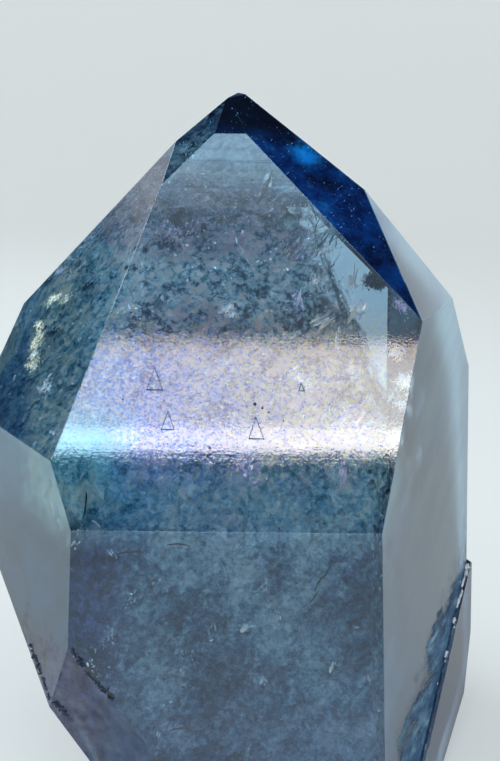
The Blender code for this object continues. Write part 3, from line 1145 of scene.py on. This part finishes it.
feed(shader, Base_Color=blend(black_head, fleck_color, (0.002, 0.004, 0.008)), Roughness=0.3)
hex_plate.data.materials.append(slate)
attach(hex_plate, "root")

# --- Star dust ------------------------------------------------------------------------------
# Fine specks, bright by a painted glint that glows by emission, float under the small dark facets and,
# thinner, through the clear tip.

DUST_COUNT = 1300
DUST_TRIES = 7800
DUST_LOW = np.array([-8, -6, 30.0]) * MM
DUST_HIGH = np.array([11, 8, 42]) * MM
bpy.ops.object.select_all(action="DESELECT")
bpy.ops.mesh.primitive_ico_sphere_add(subdivisions=1, radius=1.0)
speck = bpy.context.object
speck_shape = np.array([v.co for v in speck.data.vertices])
speck_faces = np.array([face.vertices for face in speck.data.polygons])
bpy.data.objects.remove(speck)
dust = rng.uniform(DUST_LOW, DUST_HIGH, (DUST_TRIES, 3))
# Two in three specks lie just over the dark sheets, and the rest float where they fell.
chosen = rng.integers(3, size=len(dust))
for index, way in enumerate(SHADE_SHEET_WAYS):
    facet_way = np.array(way.normalized())
    level = (np.array([v.co for v in crystal.data.vertices]) @ facet_way).max()
    under = rng.uniform(0.035, 0.08, len(dust)) * MM
    lift = (level - dust @ facet_way - under)[:, None] * facet_way
    dust = np.where((chosen == index)[:, None], dust + lift, dust)
thin_out = rng.random(len(dust)) < np.where(depth_inside(dust) < 0.1 * MM, 0.5, 0.03)
dust = dust[(depth_inside(dust) > 0.03 * MM) & thin_out][:DUST_COUNT]
grain_sizes = rng.lognormal(math.log(0.015), 0.6, len(dust)).clip(0.008, 0.034) * MM
uneven = rng.uniform(0.6, 1.2, (len(dust), len(speck_shape), 1))
verts = dust[:, None, :] + speck_shape * grain_sizes[:, None, None] * uneven
sparkle, shader = open_finish("dust_with_painted_glints")
where = object_place()
shimmer = noise_at(where, Scale=900.0, Detail=2.0)
speck_stops = [(0.35, (0.05, 0.2, 0.6)), (0.5, (0.2, 0.5, 0.9)), (0.66, (0.7, 0.9, 1))]
speck_color = ramp_of(shimmer, speck_stops)
feed(shader, Base_Color=blend(0.6, speck_color, (0.0, 0.02, 0.05)), Emission_Color=speck_color)
feed(shader, Emission_Strength=1.3, Roughness=0.3)
star_dust = scatter("star_dust", verts, speck_faces, sparkle)
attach(star_dust, "root")

# --- Surface grit ---------------------------------------------------------------------------
# Small crumbs cling to the faces: brown ones on the front slope and the face below it, bright
# chips of broken quartz along the border of the plate, and dark splinters round the left chip.


def on_face(way, x, z):
    """The point of an outer growth face with this x and z, in millimetres."""
    way = way.normalized()
    level = max(way.dot(v.co) for v in crystal.data.vertices)
    return Vector((x, (level / MM - way.x * x - way.z * z) / way.y, z))


def crumb(place, size, seed, stretch=1.0, along=Vector((0, 0, 1))):
    """An angular grain, half sunk into the face, drawn out along one direction."""
    place = crystal.closest_point_on_mesh(Vector(place) * MM)[1] / MM
    bpy.ops.mesh.primitive_ico_sphere_add(subdivisions=2, radius=1.0)
    grain = bpy.context.object
    for vertex in grain.data.vertices:
        uneven = 1 + 0.45 * noise.noise(vertex.co * 1.7 + Vector((seed, 0, 0)))
        spot = vertex.co * uneven
        spot += along * (spot.dot(along) * (stretch - 1))
        vertex.co = (Vector(place) + spot * size) * MM
    return grain


FRONT_WAY = Vector((0, -1, 0.014))
# each crumb's face, its x and z there, and its size
brown_crumbs = [
    (SLOPE_WAY, -0.25, 25.3, 0.10),
    (SLOPE_WAY, 0.15, 25.1, 0.07),
    (SLOPE_WAY, 0.5, 24.9, 0.05),
    (SLOPE_WAY, 1.3, 24.5, 0.05),
    (SLOPE_WAY, -2.8, 23.15, 0.07),
    (SLOPE_WAY, -7.6, 25.4, 0.05),
    (SLOPE_WAY, -0.1, 37.2, 0.04),
    (SLOPE_WAY, 0.6, 39.9, 0.035),
    (SLOPE_WAY, 1.3, 39.2, 0.04),
    (SLOPE_WAY, 5.3, 35.2, 0.045),
    (FRONT_WAY, -9.6, 12.9, 0.05),
    (FRONT_WAY, -7.9, 10.1, 0.09),
]
pieces = [crumb(on_face(way, x, z), size, index) for index, (way, x, z, size) in enumerate(brown_crumbs)]
join_slivers("brown_crumbs", pieces, (0.10, 0.07, 0.05), 0.7)

# each chip's place, its size, and how far it is drawn out
bright_chips = [
    ((15.85, 4.0, 11.35), 0.24, 1.2),
    ((15.75, 3.6, 11.05), 0.18, 1.6),
    ((15.5, 3.0, 10.65), 0.11, 5.0),
    ((15.2, 2.3, 10.1), 0.10, 4.0),
    ((14.9, 1.8, 9.7), 0.13, 3.0),
    ((14.75, 1.5, 9.5), 0.09, 2.0),
    ((14.4, 0.6, 8.85), 0.16, 1.6),
    ((14.3, 0.2, 8.55), 0.07, 1.6),
    ((13.55, -1.4, 7.3), 0.13, 2.4),
    ((13.4, -1.8, 7.0), 0.05, 2.0),
    ((12.6, -3.3, 6.1), 0.05, 2.0),
    ((15.0, 2.4, 10.9), 0.06, 1.2),
    ((-12.5, -9.75, 11.05), 0.06, 1.3),
    ((-11.93, -10.85, 10.0), 0.05, 1.0),
    ((-9.95, -13.82, 12.3), 0.05, 1.0),
    ((-8.6, -13.87, 10.65), 0.04, 1.0),
]
CHIP_SEED = 20
border_along = -BORDER_ALONG.normalized()
pieces = [
    crumb(place, size, CHIP_SEED + index, stretch, border_along)
    for index, (place, size, stretch) in enumerate(bright_chips)
]
join_slivers("bright_chips", pieces, (0.95, 0.98, 1.0), 0.25)

# The edges round the left chip are crushed into dark splinters: each edge's ends and their number.
crushed_edges = [
    ((-12.55, -9.6, 11.2), (-11.5, -11.6, 9.45), 60),
    ((-11.42, -11.8, 9.35), (-10.3, -12.3, 8.1), 30),
    ((-10.05, -13.83, 12.7), (-9.3, -13.83, 11.45), 34),
    ((-9.3, -13.83, 11.45), (-7.75, -13.88, 9.85), 44),
]
pieces = []
for start, end, number in crushed_edges:
    run = Vector(end) - Vector(start)
    for share in rng.uniform(0, 1, number):
        place = Vector(start) + run * share + Vector(rng.normal(size=3)) * 0.05
        size = min(rng.lognormal(math.log(0.048), 0.45), 0.12)
        grow_way = Vector(rng.normal(size=3)).normalized()
        pieces.append(crumb(place, size, len(pieces), rng.uniform(1.2, 3.0), grow_way))
join_slivers("dark_splinters", pieces, (0.015, 0.04, 0.09), 0.4)

# --- Border shade sheet ---------------------------------------------------------------------
# Painted shade: a dark blue sheet, paper thin, lies along the border of the plate and frays out over the
# dull face to its left.

BORDER_SHEET_HEAD = Vector((15.85, 4.0, 11.5)) * MM
BORDER_SHEET_LENGTH = 18 * MM
BORDER_SHEET_WIDTH = 5.2 * MM
BORDER_SHEET_LIFT = 0.015 * MM
BORDER_SHEET_SPREAD = 3.4 * MM
BORDER_SHEET_FRAY = 14 * MM
BORDER_SHEET_SUNK = 0.3

bpy.ops.object.select_all(action="DESELECT")
bpy.ops.mesh.primitive_cube_add(size=1.0)
border_sheet = bpy.context.object
border_sheet.name = "border_shade_sheet"
along = BORDER_ALONG.normalized()
out = RIGHT_WAY.normalized()
up_left = along.cross(out).normalized()
if up_left.z < 0:
    up_left = -up_left
dull_faces = [face for face in crystal.data.polygons if face.normal.dot(out) > VERY_SAME_WAY]
level = max(out.dot(face.center) for face in dull_faces)
middle = BORDER_SHEET_HEAD + along * BORDER_SHEET_LENGTH / 2 + up_left * BORDER_SHEET_WIDTH / 2
middle += out * (level + BORDER_SHEET_LIFT * BORDER_SHEET_SUNK - out.dot(middle))
for vertex in border_sheet.data.vertices:
    x, y, z = vertex.co
    rise = y * BORDER_SHEET_WIDTH - (BORDER_SHEET_SPREAD * (x + 0.5) if y < 0 else 0)
    vertex.co = middle + along * x * BORDER_SHEET_LENGTH + up_left * rise + out * z * BORDER_SHEET_LIFT
face_outward()
border_sheet_finish, shader = open_finish("painted_border_shade")
where = object_place()
axes = axes_of(where)
squeezed = vectors("MULTIPLY", where, (0.3, 0.3, 1.0))
border_sheet_mottle = noise_at(squeezed, Scale=1100.0, Detail=6.0, Roughness=0.7)
border_sheet_color = ramp_of(
    border_sheet_mottle,
    [
        (0.36, (0.01, 0.05, 0.14)),
        (0.50, (0.05, 0.15, 0.29)),
        (0.60, (0.15, 0.30, 0.43)),
        (0.72, (0.60, 0.76, 0.84)),
    ],
)
feed(shader, Base_Color=border_sheet_color, Roughness=0.55, Specular_IOR_Level=0.15)
from_border = vectors("DOT_PRODUCT", where, up_left)
tatters = noise_at(squeezed, Scale=600.0, Detail=5.0, Roughness=0.6)
border_at = up_left.dot(BORDER_SHEET_HEAD)
frayed = plus(times(minus(tatters, 0.5), BORDER_SHEET_FRAY), from_border)
cover_share = fade(frayed, border_at + 3.3 * MM, border_at + 0.2 * MM)
below_head = between(axes["Z"], 11.7, 10.7)
cover_share = times(cover_share, below_head)
feed(shader, Alpha=cover_share)
border_sheet.data.materials.append(border_sheet_finish)
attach(border_sheet, "root")
